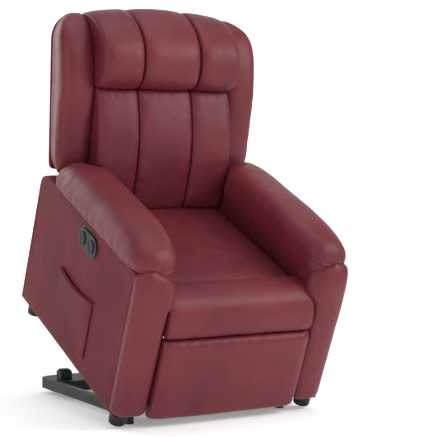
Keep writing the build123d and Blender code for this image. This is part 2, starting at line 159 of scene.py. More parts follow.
def leather(name, dark, mid, light, rough=(0.38, 0.52), grain=1.0, spec=0.27, coat=0.03):
    m, nt, b = material(name)
    geo = nt.nodes.new("ShaderNodeTexCoord")
    vec = geo.outputs["Object"]
    big = tex_noise(nt, vec, 3.2, 3, 0.5)
    fine = tex_noise(nt, vec, 26.0, 5, 0.6)
    mix = nt.nodes.new("ShaderNodeMath")
    mix.operation = "MULTIPLY_ADD"
    mix.inputs[1].default_value = 0.35
    nt.links.new(fine, mix.inputs[0])
    nt.links.new(big, mix.inputs[2])
    col = ramp(nt, mix.outputs[0], [(0.38, dark), (0.66, mid), (0.98, light)])
    # painted shade and highlight: the colour is darkened in the creases and slightly lightened on ridges, from
    # pointiness
    gm = nt.nodes.new("ShaderNodeNewGeometry")
    crease_shade_ridge_highlight = ramp(nt, gm.outputs["Pointiness"], [(0.44, (0.42, 0.36, 0.36)), (0.497, (1, 1, 1)), (0.54, (1.10, 1.08, 1.08))])
    mul = nt.nodes.new("ShaderNodeMixRGB")
    mul.blend_type = "MULTIPLY"
    mul.inputs[0].default_value = 1.0
    nt.links.new(col, mul.inputs[1])
    nt.links.new(crease_shade_ridge_highlight, mul.inputs[2])
    nt.links.new(mul.outputs[0], b.inputs["Base Color"])
    nt.links.new(maprange(nt, fine, rough[0], rough[1]), b.inputs["Roughness"])
    b.inputs["Specular IOR Level"].default_value = spec
    b.inputs["Sheen Weight"].default_value = 0.01
    b.inputs["Sheen Roughness"].default_value = 0.45
    b.inputs["Coat Weight"].default_value = coat
    b.inputs["Coat Roughness"].default_value = 0.30
    # grain: pebbled cells with fine creases between them
    vor = nt.nodes.new("ShaderNodeTexVoronoi")
    vor.feature = "DISTANCE_TO_EDGE"
    vor.inputs["Scale"].default_value = 430.0
    wob = nt.nodes.new("ShaderNodeVectorMath")
    wob.operation = "ADD"
    nz = nt.nodes.new("ShaderNodeTexNoise")
    nz.inputs["Scale"].default_value = 90.0
    nt.links.new(vec, nz.inputs["Vector"])
    sc = nt.nodes.new("ShaderNodeVectorMath")
    sc.operation = "SCALE"
    sc.inputs["Scale"].default_value = 0.004
    nt.links.new(nz.outputs["Color"], sc.inputs[0])
    nt.links.new(vec, wob.inputs[0])
    nt.links.new(sc.outputs[0], wob.inputs[1])
    nt.links.new(wob.outputs[0], vor.inputs["Vector"])
    cell = ramp(nt, vor.outputs["Distance"], [(0.0, (0, 0, 0)), (0.16, (0.8, 0.8, 0.8)), (0.5, (1, 1, 1))])
    n1 = bump(nt, cell, 0.22 * grain, 0.0006)
    soft_w = tex_noise(nt, vec, 11.0, 3, 0.5, 0.6)
    n2 = bump(nt, soft_w, 0.16, 0.010, n1)
    nt.links.new(n2, b.inputs["Normal"])
    return m


BURG = ((0.086, 0.0085, 0.0120), (0.134, 0.0155, 0.0215), (0.170, 0.0260, 0.0330))
MAT_LEATHER = leather("burgundy_leather", *BURG)
MAT_PANEL = leather("burgundy_leather_panel", (0.080, 0.0080, 0.0115), (0.122, 0.0140, 0.0190), (0.156, 0.0240, 0.0300), (0.50, 0.62), 0.8, 0.10, 0.0)


def painted(name, base, rough, scale=260.0, strength=0.12, metal=0.0, wear=None):
    m, nt, b = material(name)
    t = nt.nodes.new("ShaderNodeTexCoord")
    vec = t.outputs["Object"]
    n = tex_noise(nt, vec, scale, 3, 0.6)
    v = tex_noise(nt, vec, 9.0, 4, 0.6)
    d = tuple(c * 0.7 for c in base)
    l = tuple(min(1, c * 1.35 + 0.004) for c in base)
    col = ramp(nt, v, [(0.3, d), (0.7, l)])
    if wear:
        g = nt.nodes.new("ShaderNodeNewGeometry")
        e = ramp(nt, g.outputs["Pointiness"], [(0.53, (0, 0, 0)), (0.60, (1, 1, 1))])
        mx = nt.nodes.new("ShaderNodeMixRGB")
        nt.links.new(e, mx.inputs[0])
        nt.links.new(col, mx.inputs[1])
        mx.inputs[2].default_value = (*wear, 1)
        col = mx.outputs[0]
    nt.links.new(col, b.inputs["Base Color"])
    nt.links.new(maprange(nt, v, rough - 0.06, rough + 0.08), b.inputs["Roughness"])
    b.inputs["Metallic"].default_value = metal
    b.inputs["Specular IOR Level"].default_value = 0.14 if metal < 0.5 else 0.5
    nt.links.new(bump(nt, n, strength, 0.0008), b.inputs["Normal"])
    return m


MAT_STEEL = painted("black_powder_coat", (0.0095, 0.0100, 0.0102), 0.50, 420.0, 0.22, 0.0, (0.035, 0.036, 0.037))
MAT_ZINC = painted("zinc_plate", (0.55, 0.56, 0.58), 0.30, 150.0, 0.05, 0.95)
MAT_PLASTIC = painted("black_plastic", (0.010, 0.010, 0.011), 0.42, 600.0, 0.10, 0.0, (0.04, 0.04, 0.042))
MAT_GLOSS = painted("gloss_black_plastic", (0.006, 0.006, 0.007), 0.26, 200.0, 0.02, 0.0, (0.02, 0.02, 0.022))
MAT_RUBBER = painted("black_rubber", (0.014, 0.014, 0.014), 0.70, 300.0, 0.3)


def wood(name):
    m, nt, b = material(name)
    t = nt.nodes.new("ShaderNodeTexCoord")
    mp = nt.nodes.new("ShaderNodeMapping")
    mp.inputs["Scale"].default_value = (6, 1, 22)
    nt.links.new(t.outputs["Object"], mp.inputs[0])
    n = tex_noise(nt, mp.outputs[0], 6.0, 6, 0.65, 1.2)
    nt.links.new(ramp(nt, n, [(0.3, (0.30, 0.17, 0.075)), (0.55, (0.46, 0.30, 0.15)), (0.8, (0.58, 0.41, 0.23))]), b.inputs["Base Color"])
    nt.links.new(maprange(nt, n, 0.55, 0.75), b.inputs["Roughness"])
    nt.links.new(bump(nt, n, 0.15, 0.001), b.inputs["Normal"])
    return m


MAT_WOOD = wood("plywood")


def webbing(name):
    m, nt, b = material(name)
    t = nt.nodes.new("ShaderNodeTexCoord")
    w = nt.nodes.new("ShaderNodeTexWave")
    w.inputs["Scale"].default_value = 180.0
    w.inputs["Distortion"].default_value = 0.6
    nt.links.new(t.outputs["Object"], w.inputs["Vector"])
    nt.links.new(ramp(nt, w.outputs["Fac"], [(0.2, (0.02, 0.02, 0.022)), (0.8, (0.09, 0.09, 0.095))]), b.inputs["Base Color"])
    b.inputs["Roughness"].default_value = 0.8
    nt.links.new(bump(nt, w.outputs["Fac"], 0.4, 0.001), b.inputs["Normal"])
    return m


MAT_WEB = webbing("woven_webbing")


def thread(name, a, b_):
    m, nt, b = material(name)
    t = nt.nodes.new("ShaderNodeTexCoord")
    n = tex_noise(nt, t.outputs["Object"], 700.0, 2, 0.5)
    nt.links.new(ramp(nt, n, [(0.3, a), (0.7, b_)]), b.inputs["Base Color"])
    b.inputs["Roughness"].default_value = 0.6
    nt.links.new(bump(nt, n, 0.3, 0.0005), b.inputs["Normal"])
    return m


MAT_THREAD = thread("stitch_thread", (0.10, 0.02, 0.025), (0.17, 0.040, 0.046))

by_slot = {"black_steel": MAT_STEEL, "bright_steel": MAT_ZINC, "wood_board": MAT_WOOD, "black_rubber": MAT_RUBBER,
           "black_plastic": MAT_PLASTIC, "gloss_black_plastic": MAT_GLOSS, "webbing": MAT_WEB,
           "burgundy_leather": MAT_LEATHER, "pocket_leather": MAT_PANEL}
def stained(name):
    m, nt, b = material(name)
    t = nt.nodes.new("ShaderNodeTexCoord")
    n = tex_noise(nt, t.outputs["Object"], 22.0, 5, 0.6, 1.0)
    nt.links.new(ramp(nt, n, [(0.3, (0.012, 0.009, 0.008)), (0.7, (0.035, 0.026, 0.022))]), b.inputs["Base Color"])
    nt.links.new(maprange(nt, n, 0.5, 0.7), b.inputs["Roughness"])
    b.inputs["Specular IOR Level"].default_value = 0.2
    nt.links.new(bump(nt, n, 0.2, 0.001), b.inputs["Normal"])
    return m


MAT_WOOD_DARK = stained("stained_block")
for sp in frame["record"]["subparts"]:
    o = nodes.get(sp["node"])
    if o is None:
        continue
    mat = MAT_WOOD_DARK if sp["node"] == "foot_mounts" else by_slot[sp["material_slot"]]
    if not o.material_slots:
        o.data.materials.append(mat)
    for s in o.material_slots:
        s.material = mat

# ------------------------------------------------------------------ mesh building


def new_object(name, verts, faces, mat, smooth=True):
    me = bpy.data.meshes.new(name)
    me.from_pydata([tuple(v) for v in verts], [], [tuple(f) for f in faces])
    me.validate()
    me.update()
    bm = bmesh.new()
    bm.from_mesh(me)
    bmesh.ops.remove_doubles(bm, verts=bm.verts, dist=1e-6)
    bmesh.ops.recalc_face_normals(bm, faces=bm.faces)
    bm.to_mesh(me)
    bm.free()
    for p in me.polygons:
        p.use_smooth = smooth
    o = bpy.data.objects.new(name, me)
    scene.collection.objects.link(o)
    me.materials.append(mat)
    return o


def cube_grid(nu, nv, nw):
    """Surface of the cube [-1, 1]^3 as one welded grid."""
    index, pts, faces = {}, [], []

    def vid(i, j, k):
        key = (i, j, k)
        if key not in index:
            index[key] = len(pts)
            pts.append((-1 + 2 * i / nu, -1 + 2 * j / nv, -1 + 2 * k / nw))
        return index[key]

    for i in range(nu):
        for j in range(nv):
            faces.append((vid(i, j, 0), vid(i, j + 1, 0), vid(i + 1, j + 1, 0), vid(i + 1, j, 0)))
            faces.append((vid(i, j, nw), vid(i + 1, j, nw), vid(i + 1, j + 1, nw), vid(i, j + 1, nw)))
    for i in range(nu):
        for k in range(nw):
            faces.append((vid(i, 0, k), vid(i + 1, 0, k), vid(i + 1, 0, k + 1), vid(i, 0, k + 1)))
            faces.append((vid(i, nv, k), vid(i, nv, k + 1), vid(i + 1, nv, k + 1), vid(i + 1, nv, k)))
    for j in range(nv):
        for k in range(nw):
            faces.append((vid(0, j, k), vid(0, j, k + 1), vid(0, j + 1, k + 1), vid(0, j + 1, k)))
            faces.append((vid(nu, j, k), vid(nu, j + 1, k), vid(nu, j + 1, k + 1), vid(nu, j, k + 1)))
    return np.array(pts, float), faces


def rounded(p, a, b, c):
    """Superellipsoid: |u|^a + |v|^b + |w|^c = 1, found along each ray from the middle."""
    lo, hi = np.zeros(len(p)), np.full(len(p), 1.0)
    q = np.abs(p)
    for _ in range(34):
        m = (lo + hi) / 2
        f = (m * q[:, 0]) ** a + (m * q[:, 1]) ** b + (m * q[:, 2]) ** c
        lo = np.where(f < 1, m, lo)
        hi = np.where(f < 1, hi, m)
    return p * ((lo + hi) / 2)[:, None]


def curve(points):
    """Smooth (Catmull-Rom) curve through points; returns f(t), t from 0 to 1 by chord length."""
    P = np.array(points, float)
    d = np.r_[0, np.cumsum(np.linalg.norm(np.diff(P, axis=0), axis=1))]
    d /= d[-1]

    def f(t):
        t = np.clip(np.asarray(t, float), 0, 1)
        i = np.clip(np.searchsorted(d, t, side="right") - 1, 0, len(P) - 2)
        h = (t - d[i]) / (d[i + 1] - d[i])
        p1, p2 = P[i], P[i + 1]
        p0 = P[np.clip(i - 1, 0, None)]
        p3 = P[np.clip(i + 2, None, len(P) - 1)]
        h = h[..., None]
        return 0.5 * (2 * p1 + (p2 - p0) * h + (2 * p0 - 5 * p1 + 4 * p2 - p3) * h ** 2 + (3 * p1 - p0 - 3 * p2 + p3) * h ** 3)

    return f


def profile(points):
    """Smooth function through (x, y) points, with no overshoot between them."""
    P = np.array(sorted(points), float)
    X, Y = P[:, 0], P[:, 1]
    h = np.diff(X)
    d = np.diff(Y) / h
    m = np.zeros(len(X))
    m[0], m[-1] = d[0], d[-1]
    for k in range(1, len(X) - 1):
        if d[k - 1] * d[k] > 0:
            w1, w2 = 2 * h[k] + h[k - 1], h[k] + 2 * h[k - 1]
            m[k] = (w1 + w2) / (w1 / d[k - 1] + w2 / d[k])

    def f(x):
        x = np.clip(x, X[0], X[-1])
        i = np.clip(np.searchsorted(X, x, side="right") - 1, 0, len(X) - 2)
        t = (x - X[i]) / h[i]
        return (Y[i] * (1 + 2 * t) * (1 - t) ** 2 + h[i] * m[i] * t * (1 - t) ** 2
                + Y[i + 1] * t * t * (3 - 2 * t) + h[i] * m[i + 1] * t * t * (t - 1))

    return f


def fbm(p, scale, seed=0.0, octaves=3):
    out = np.zeros(len(p))
    for k in range(len(p)):
        out[k] = noise.fractal(Vector(p[k] * scale) + Vector((seed, seed * 1.7, -seed)), 1.0, 2.0, octaves)
    return out


made = {}


def finish_piece(o, body, replaces=(), subsurf=1):
    if subsurf:
        m = o.modifiers.new("subsurf", "SUBSURF")
        m.levels = m.render_levels = subsurf
    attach(o, body)
    if replaces:
        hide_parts(*replaces)
    made[o.name] = o
    return o


def mirror_pts(P):
    Q = P.copy()
    Q[:, 0] *= -1
    return Q


def vnormals(pts, faces):
    """Unit vertex normals; faces are turned so that they point outwards on the whole."""
    P = np.asarray(pts, float)
    F = [f for f in faces]
    n = np.zeros_like(P)
    c = P.mean(0)
    for f in F:
        a, b, d = P[f[0]], P[f[1]], P[f[-1]]
        m = np.cross(b - a, d - a)
        g = P[list(f)].mean(0) - c
        n[list(f)] += m
    L = np.linalg.norm(n, axis=1)
    n /= np.where(L < 1e-9, 1, L)[:, None]
    if ((P - c) * n).sum() < 0:
        n = -n
    return n


def swell(pts, faces, amount):
    """Moves every vertex along its normal by amount(pts) mm."""
    return pts + vnormals(pts, faces) * np.asarray(amount)[:, None]


def cloth_relief(pts, seed, broad=0.9, fine=0.35):
    """Slow unevenness of stuffed leather, mm."""
    return broad * fbm(pts, 0.011, seed, 2) + fine * fbm(pts * np.array([1.0, 1.0, 0.7]), 0.035, seed + 9, 3)


def ridges(pts, seed, direction, spacing, wander=0.35):
    """Thin pulled folds that run across `direction`; from -1 to 1."""
    d = np.asarray(direction, float)
    d /= np.linalg.norm(d)
    s = pts @ d / spacing
    s = s + wander * 3.0 * fbm(pts, 0.02, seed, 2)
    k = np.abs(np.sin(s * math.pi))
    return 1 - 2 * k ** 0.6


def grid_ends(n, power=1.6):
    t = np.linspace(-1, 1, n)
    return np.sign(t) * (1 - (1 - np.abs(t)) ** power)


def closed_curve(ctrl, n):
    """n points on a smooth closed curve through ctrl, evenly spaced by length."""
    P = np.array(ctrl, float)
    m = len(P)
    out = []
    for i in range(m):
        p0, p1, p2, p3 = P[i - 1], P[i], P[(i + 1) % m], P[(i + 2) % m]
        for h in np.linspace(0, 1, 12, endpoint=False):
            out.append(0.5 * (2 * p1 + (p2 - p0) * h + (2 * p0 - 5 * p1 + 4 * p2 - p3) * h ** 2 + (3 * p1 - p0 - 3 * p2 + p3) * h ** 3))
    out = np.array(out)
    ring = np.vstack([out, out[:1]])
    d = np.r_[0, np.cumsum(np.linalg.norm(np.diff(ring, axis=0), axis=1))]
    t = np.linspace(0, d[-1], n, endpoint=False)
    return np.stack([np.interp(t, d, ring[:, k]) for k in range(P.shape[1])], 1)


def loft(sections, place, end=(20, 20)):
    """sections[i] is an (n, 2) loop; place(i, loop) gives its (n, 3) points. Ends are closed by a middle point."""
    pts, faces = [], []
    n = len(sections[0])
    for i, L in enumerate(sections):
        pts.append(place(i, L))
    k = len(sections)
    pts = np.vstack(pts)
    for i in range(k - 1):
        for j in range(n):
            a, b = i * n + j, i * n + (j + 1) % n
            faces.append((a, b, b + n, a + n))
    c0, c1 = pts[:n].mean(0), pts[-n:].mean(0)
    base = len(pts)
    pts = np.vstack([pts, c0, c1])
    for j in range(n):
        faces.append((base, (j + 1) % n, j))
        faces.append((base + 1, (k - 1) * n + j, (k - 1) * n + (j + 1) % n))
    return pts, faces


stitch_store = {}


def tube_bits(points, r, closed=False, sides=6):
    """A round tube through points (mm, chair frame); returns verts and faces."""
    P = np.asarray(points, float)
    V, F = [], []
    for i in range(len(P)):
        a, b = P[max(i - 1, 0)], P[min(i + 1, len(P) - 1)]
        t = (b - a) / (np.linalg.norm(b - a) + 1e-9)
        h = np.array([0, 0, 1.0]) if abs(t[2]) < 0.9 else np.array([1.0, 0, 0])
        u = np.cross(t, h)
        u /= np.linalg.norm(u)
        v = np.cross(t, u)
        for k in range(sides):
            q = 2 * math.pi * k / sides
            V.append(P[i] + r * (math.cos(q) * u + math.sin(q) * v))
    for i in range(len(P) - 1):
        for k in range(sides):
            a, b = i * sides + k, i * sides + (k + 1) % sides
            F.append((a, b, b + sides, a + sides))
    F.append(tuple(range(sides))[::-1])
    F.append(tuple((len(P) - 1) * sides + k for k in range(sides)))
    return np.array(V), F


class Surface:
    def __init__(self, pts, faces):
        from mathutils.bvhtree import BVHTree
        self.tree = BVHTree.FromPolygons([Vector(q) for q in pts], [tuple(f) for f in faces])

    def cast(self, p, d):
        hit = self.tree.ray_cast(Vector(p), Vector(d).normalized())
        return None if hit[0] is None else np.array(hit[0])


def stitch_run(body, surf, line, towards, pitch=8.0, length=5.0, r=0.75, lift=0.1, back_off=200):
    """Dashes of thread along line (mm), dropped onto surf in the direction `towards`."""
    L = np.asarray(line, float)
    d = np.r_[0, np.cumsum(np.linalg.norm(np.diff(L, axis=0), axis=1))]
    t = np.arange(pitch / 2, d[-1], pitch)
    dirn = np.asarray(towards, float)
    dirn /= np.linalg.norm(dirn)
    store = stitch_store.setdefault(body, ([], []))
    for k in t:
        seg = []
        for q in (k - length / 2, k, k + length / 2):
            p = np.array([np.interp(q, d, L[:, i]) for i in range(3)])
            h = surf.cast(p - dirn * back_off, dirn)
            if h is None or np.linalg.norm(h - p) > back_off:
                seg = None
                break
            seg.append(h - dirn * lift)
        if seg is None:
            continue
        V, F = tube_bits(seg, r, sides=5)
        b = sum(len(x) for x in store[0])
        store[0].append(V)
        store[1].extend(tuple(i + b for i in f) for f in F)


surfaces = {}


def piece(name, pts, faces, body, replaces=(), mat=None, subsurf=1):
    o = new_object(name, CH(pts), faces, mat or MAT_LEATHER)
    surfaces[name] = Surface(pts, faces)
    return finish_piece(o, body, replaces, subsurf=subsurf)


# ------------------------------------------------------------------ backrest cushions
LUMB_F = curve([(262, 424), (240, 438), (241, 520), (250, 610), (274, 691), (310, 762), (346, 818)])
LUMB_R = curve([(322, 440), (330, 455), (346, 510), (374, 590), (404, 672), (428, 745), (450, 812)])
HEAD_F = curve([(368, 812), (334, 822), (313, 846), (307, 880), (314, 925), (340, 972), (388, 1010), (450, 1031), (508, 1035), (552, 1022)])
HEAD_R = curve([(454, 812), (462, 836), (472, 864), (482, 892), (492, 920), (502, 945), (516, 970), (530, 984), (542, 994), (558, 1008)])


def ruled(x0, x1, front, rear, a, b, c, nu, nv, nw, crown, power, shape=None, cneg=22):
    """Stuffed channel between two side profiles: u across (+x), v up, w towards the front."""
    P, faces = cube_grid(nu, nv, nw)
    q = rounded(P, a, b, np.where(P[:, 2] < 0, cneg, c))
    u, v, w = q[:, 0], q[:, 1], q[:, 2]
    t = (v + 1) / 2
    f, r = front(t), rear(t)
    mid, half = (f + r) / 2, (f - r) / 2
    yz = mid + half * w[:, None]
    x = (x0 + x1) / 2 + u * (x1 - x0) / 2
    pts = np.stack([x, yz[:, 0], yz[:, 1]], 1)
    n = np.stack([np.zeros(len(u)), half[:, 0], half[:, 1]], 1)
    n /= np.linalg.norm(n, axis=1)[:, None]
    front_w = np.clip(w, 0, 1)
    pts = pts - n * (crown * np.abs(u) ** power * front_w)[:, None]
    if shape is not None:
        pts = shape(pts, u, v, w, n)
    return pts, faces


def gathers(pts, u, v, w, n, amp, count, where, width, seed):
    """Small gathers that run into a seam at v = where."""
    fall = np.exp(-((v - where) / width) ** 2) * np.clip(w, 0, 1)
    ph = u * count * math.pi + seed + 1.3 * np.sin(u * 4 + seed) + 0.8 * np.sin(u * 11 - seed)
    return pts + n * (np.sin(ph) * amp * fall)[:, None]


def seam_pulls(pts, u, v, w, n, amp, count, seed):
    """Short pulls that run off the long seams at u = +-1."""
    e = np.clip((np.abs(u) - 0.55) / 0.45, 0, 1) ** 1.5 * np.clip(w, 0, 1) * (1 - 0.6 * np.abs(u) ** 12)
    ph = v * count + 1.7 * np.sin(v * 5.3 + seed) + np.sign(u) * 0.9 * seed + 0.7 * np.sin(v * 17 + seed)
    return pts + n * (np.sin(ph) * amp * e)[:, None]


def lumbar(x0, x1, seed):
    def sh(pts, u, v, w, n):
        pts = gathers(pts, u, v, w, n, 0.9, 4.5, 0.90, 0.06, seed)
        pts = gathers(pts, u, v, w, n, 1.3, 3.5, -0.90, 0.12, seed + 2)
        pts = seam_pulls(pts, u, v, w, n, 0.9, 26, seed)
        return pts + n * (cloth_relief(pts, seed) * np.clip(w, 0, 1))[:, None]
    return ruled(x0, x1, LUMB_F, LUMB_R, 30, 16, 10, 30, 76, 10, 9, 4.5, sh)


def headr(x0, x1, seed):
    def sh(pts, u, v, w, n):
        up = np.clip(((v + 1) / 2 - 0.4) / 0.6, 0, 1)
        pts = pts + np.stack([0 * u, 0 * u, (9 - 25 * (pts[:, 0] / 250) ** 2) * up ** 1.5], 1)
        pts = gathers(pts, u, v, w, n, 1.2, 4.5, -0.80, 0.12, seed)
        pts = gathers(pts, u, v, w, n, 1.2, 4.0, 0.62, 0.16, seed + 5)
        pts = seam_pulls(pts, u, v, w, n, 1.0, 17, seed)
        return pts + n * (cloth_relief(pts, seed) * np.clip(w, 0, 1))[:, None]
    return ruled(x0, x1, HEAD_F, HEAD_R, 24, 9, 5.0, 32, 56, 12, 11, 4.2, sh)


for nm, x0, x1, s in (("left", -248.5, -99.2, 1), ("centre", -100, 100, 2), ("right", 99.2, 248.5, 3)):
    pts, faces = lumbar(x0, x1, s)
    piece("back_cushion_" + nm, pts, faces, "backrest", ("lumbar_channel_" + nm,))
for nm, x0, x1, s in (("left", -253, -104.2, 4), ("centre", -105, 105, 5), ("right", 104.2, 253, 6)):
    pts, faces = headr(x0, x1, s)
    piece("head_pillow_" + nm, pts, faces, "backrest", ("headrest_" + nm,))

# wings
WING_F = curve([(316, 519), (300, 545), (312, 620), (332, 720), (345, 800), (377, 888), (414, 948), (456, 990), (498, 1007)])
WING_R = curve([(386, 517), (396, 540), (424, 620), (459, 720), (487, 800), (518, 890), (541, 955), (552, 986), (545, 1007)])


def wing(seed):
    P, faces = cube_grid(24, 70, 24)
    q = rounded(P, np.where(P[:, 0] > 0, 2.7, 4.0), 8, np.where(P[:, 2] < 0, 12, 2.4))
    u, v, w = q[:, 0], q[:, 1], q[:, 2]
    t = (v + 1) / 2
    f, r = WING_F(t), WING_R(t)
    mid, half = (f + r) / 2, (f - r) / 2
    yz = mid + half * w[:, None]
    top = np.clip((t - 0.80) / 0.20, 0, 1)
    outer = 354 + 20 * np.clip((w + 0.4) / 1.4, 0, 1) - 40 * top ** 2.2
    inner = 237 + 6 * t
    x = (outer + inner) / 2 + u * (outer - inner) / 2
    pts = np.stack([x, yz[:, 0], yz[:, 1]], 1)
    z = pts[:, 2]
    fold = np.exp(-((z - 786 - 7 * np.sin(pts[:, 1] / 30 + seed)) / 7) ** 2) * 2.0
    fold += np.exp(-((z - 640 - 9 * np.sin(pts[:, 1] / 24 + seed)) / 10) ** 2) * 1.1
    edge = np.exp(-((v + 0.93) / 0.06) ** 2) * np.sin(pts[:, 0] / 6.5 + pts[:, 1] / 9) * 0.9
    return swell(pts, faces, cloth_relief(pts, seed, 1.2, 0.4) - fold * (0.35 + 0.65 * np.clip(np.abs(u), 0, 1)) + edge), faces


for side, sd in (("right", 11), ("left", 12)):
    pts, faces = wing(sd)
    piece("wing_cushion_" + side, pts if side == "right" else mirror_pts(pts), faces, "backrest", ("back_wing_" + side,))

# ------------------------------------------------------------------ seat
P, faces = cube_grid(60, 60, 8)
q = rounded(P, 30, 30, np.where(P[:, 2] < 0, 20, 7))
u, v, w = q[:, 0], q[:, 1], q[:, 2]
x = u * 251
y = 14 + v * 277.5
top = 433 - 9 * np.abs(u) ** 5 - 5 * np.clip((v - 0.5) / 0.5, 0, 1) ** 2 - 3.2 * np.exp(-(v + 1) / 0.05)
top = top - 3.0 * np.exp(-(u / 0.55) ** 2 - ((v - 0.1) / 0.5) ** 2)
z = (top + 333.0) / 2 + w * (top - 333.0) / 2
pts = np.stack([x, y, z], 1)
wt = np.clip(w, 0, 1)
pts[:, 2] += wt * cloth_relief(pts, 21, 1.3, 0.35)
pts[:, 2] += wt * 0.9 * ridges(pts, 22, (0.75, 1, 0), 34) * np.clip((np.abs(u) - 0.5) / 0.5, 0, 1) * np.exp(-((v - 0.3) / 0.5) ** 2)
pts[:, 2] += wt * 1.0 * np.sin(u * 40 + 2 * np.sin(u * 9)) * np.exp(-(v + 1) / 0.06)
piece("seat_pad", pts, faces, "chair", ("seat_cushion",))

# front roll of the seat, a rounded fall from the seat to the top of the leg rest
roll_loop = closed_curve([(-261.5, 431), (-280, 436), (-310, 438), (-345, 434), (-376, 414), (-395, 382), (-404, 345), (-400, 318), (-386, 306.5),
                          (-355, 304), (-300, 304), (-267, 308), (-263.5, 335), (-263.5, 390)], 84)
us = grid_ends(72, 2.8)
secs, xs = [], []
cen = np.array([-335.0, 370.0])
for uu in us:
    sc = (1 - min(abs(uu), 0.9999) ** 60) ** (1 / 5.0)
    L = cen + (roll_loop - cen) * sc
    secs.append(L)
    xs.append(uu * 261.5)
pts, faces = loft(secs, lambda i, L: np.stack([np.full(len(L), xs[i]), L[:, 0], L[:, 1]], 1))
tv = np.exp(-((pts[:, 1] + 268) / 16) ** 2) * np.clip((pts[:, 2] - 400) / 20, 0, 1)
lower = np.exp(-((pts[:, 2] - 318) / 18) ** 2) * np.clip((-pts[:, 1] - 380) / 15, 0, 1)
am = cloth_relief(pts, 25, 1.3, 0.4) + tv * np.sin(pts[:, 0] / 7.0 + 2 * np.sin(pts[:, 0] / 41)) * 0.9 \
    + lower * np.sin(pts[:, 0] / 8.0 + 1.5 * np.sin(pts[:, 0] / 37)) * 1.0 - 3.0 * np.exp(-((261.5 - np.abs(pts[:, 0])) / 10.0))
am = am * (np.abs(pts[:, 0]) < 261.4)
piece("front_roll", swell(pts, faces, am), faces, "chair", ("seat_front_roll",))

# ------------------------------------------------------------------ leg rest pad
P, faces = cube_grid(64, 40, 8)
q = rounded(P, 90, 80, np.where(P[:, 2] < 0, 80, 7))
u, v, w = q[:, 0], q[:, 1], q[:, 2]
x = u * 258.5
z = 167.5 + v * 136
front = -416 + 11 * np.clip((np.abs(u) - 0.86) / 0.14, 0, 1) ** 2.2 + 13 * np.clip((v - 0.82) / 0.18, 0, 1) ** 2 + 15 * np.clip((-v - 0.86) / 0.14, 0, 1) ** 2
front = front + 3 * (u ** 4 + v ** 2)
y = (front - 365.0) / 2 - w * (-365.0 - front) / 2
pts = np.stack([x, y, z], 1)
wt = np.clip(w, 0, 1)
pts[:, 1] -= wt * np.sin(u * 38 + 1.7 * np.sin(u * 7)) * 1.5 * np.exp(-((v - 0.95) / 0.10) ** 2)
pts[:, 1] -= wt * cloth_relief(pts, 31, 1.4, 0.4)
piece("leg_pad", pts, faces, "legrest", ("legrest_pad",))

# ------------------------------------------------------------------ arms
ZT = profile([(-362, 550), (-334, 573), (-296, 591), (-207, 606), (-80, 611), (60, 612), (180, 609), (240, 601), (270, 588), (288, 566)])
ZB = profile([(-378, 505), (-357, 500), (-346, 505), (-300, 506), (288, 506)])
ZI = profile([(-378, 482), (-352, 470), (-335, 440), (-305, 402), (-260, 398), (288, 398)])


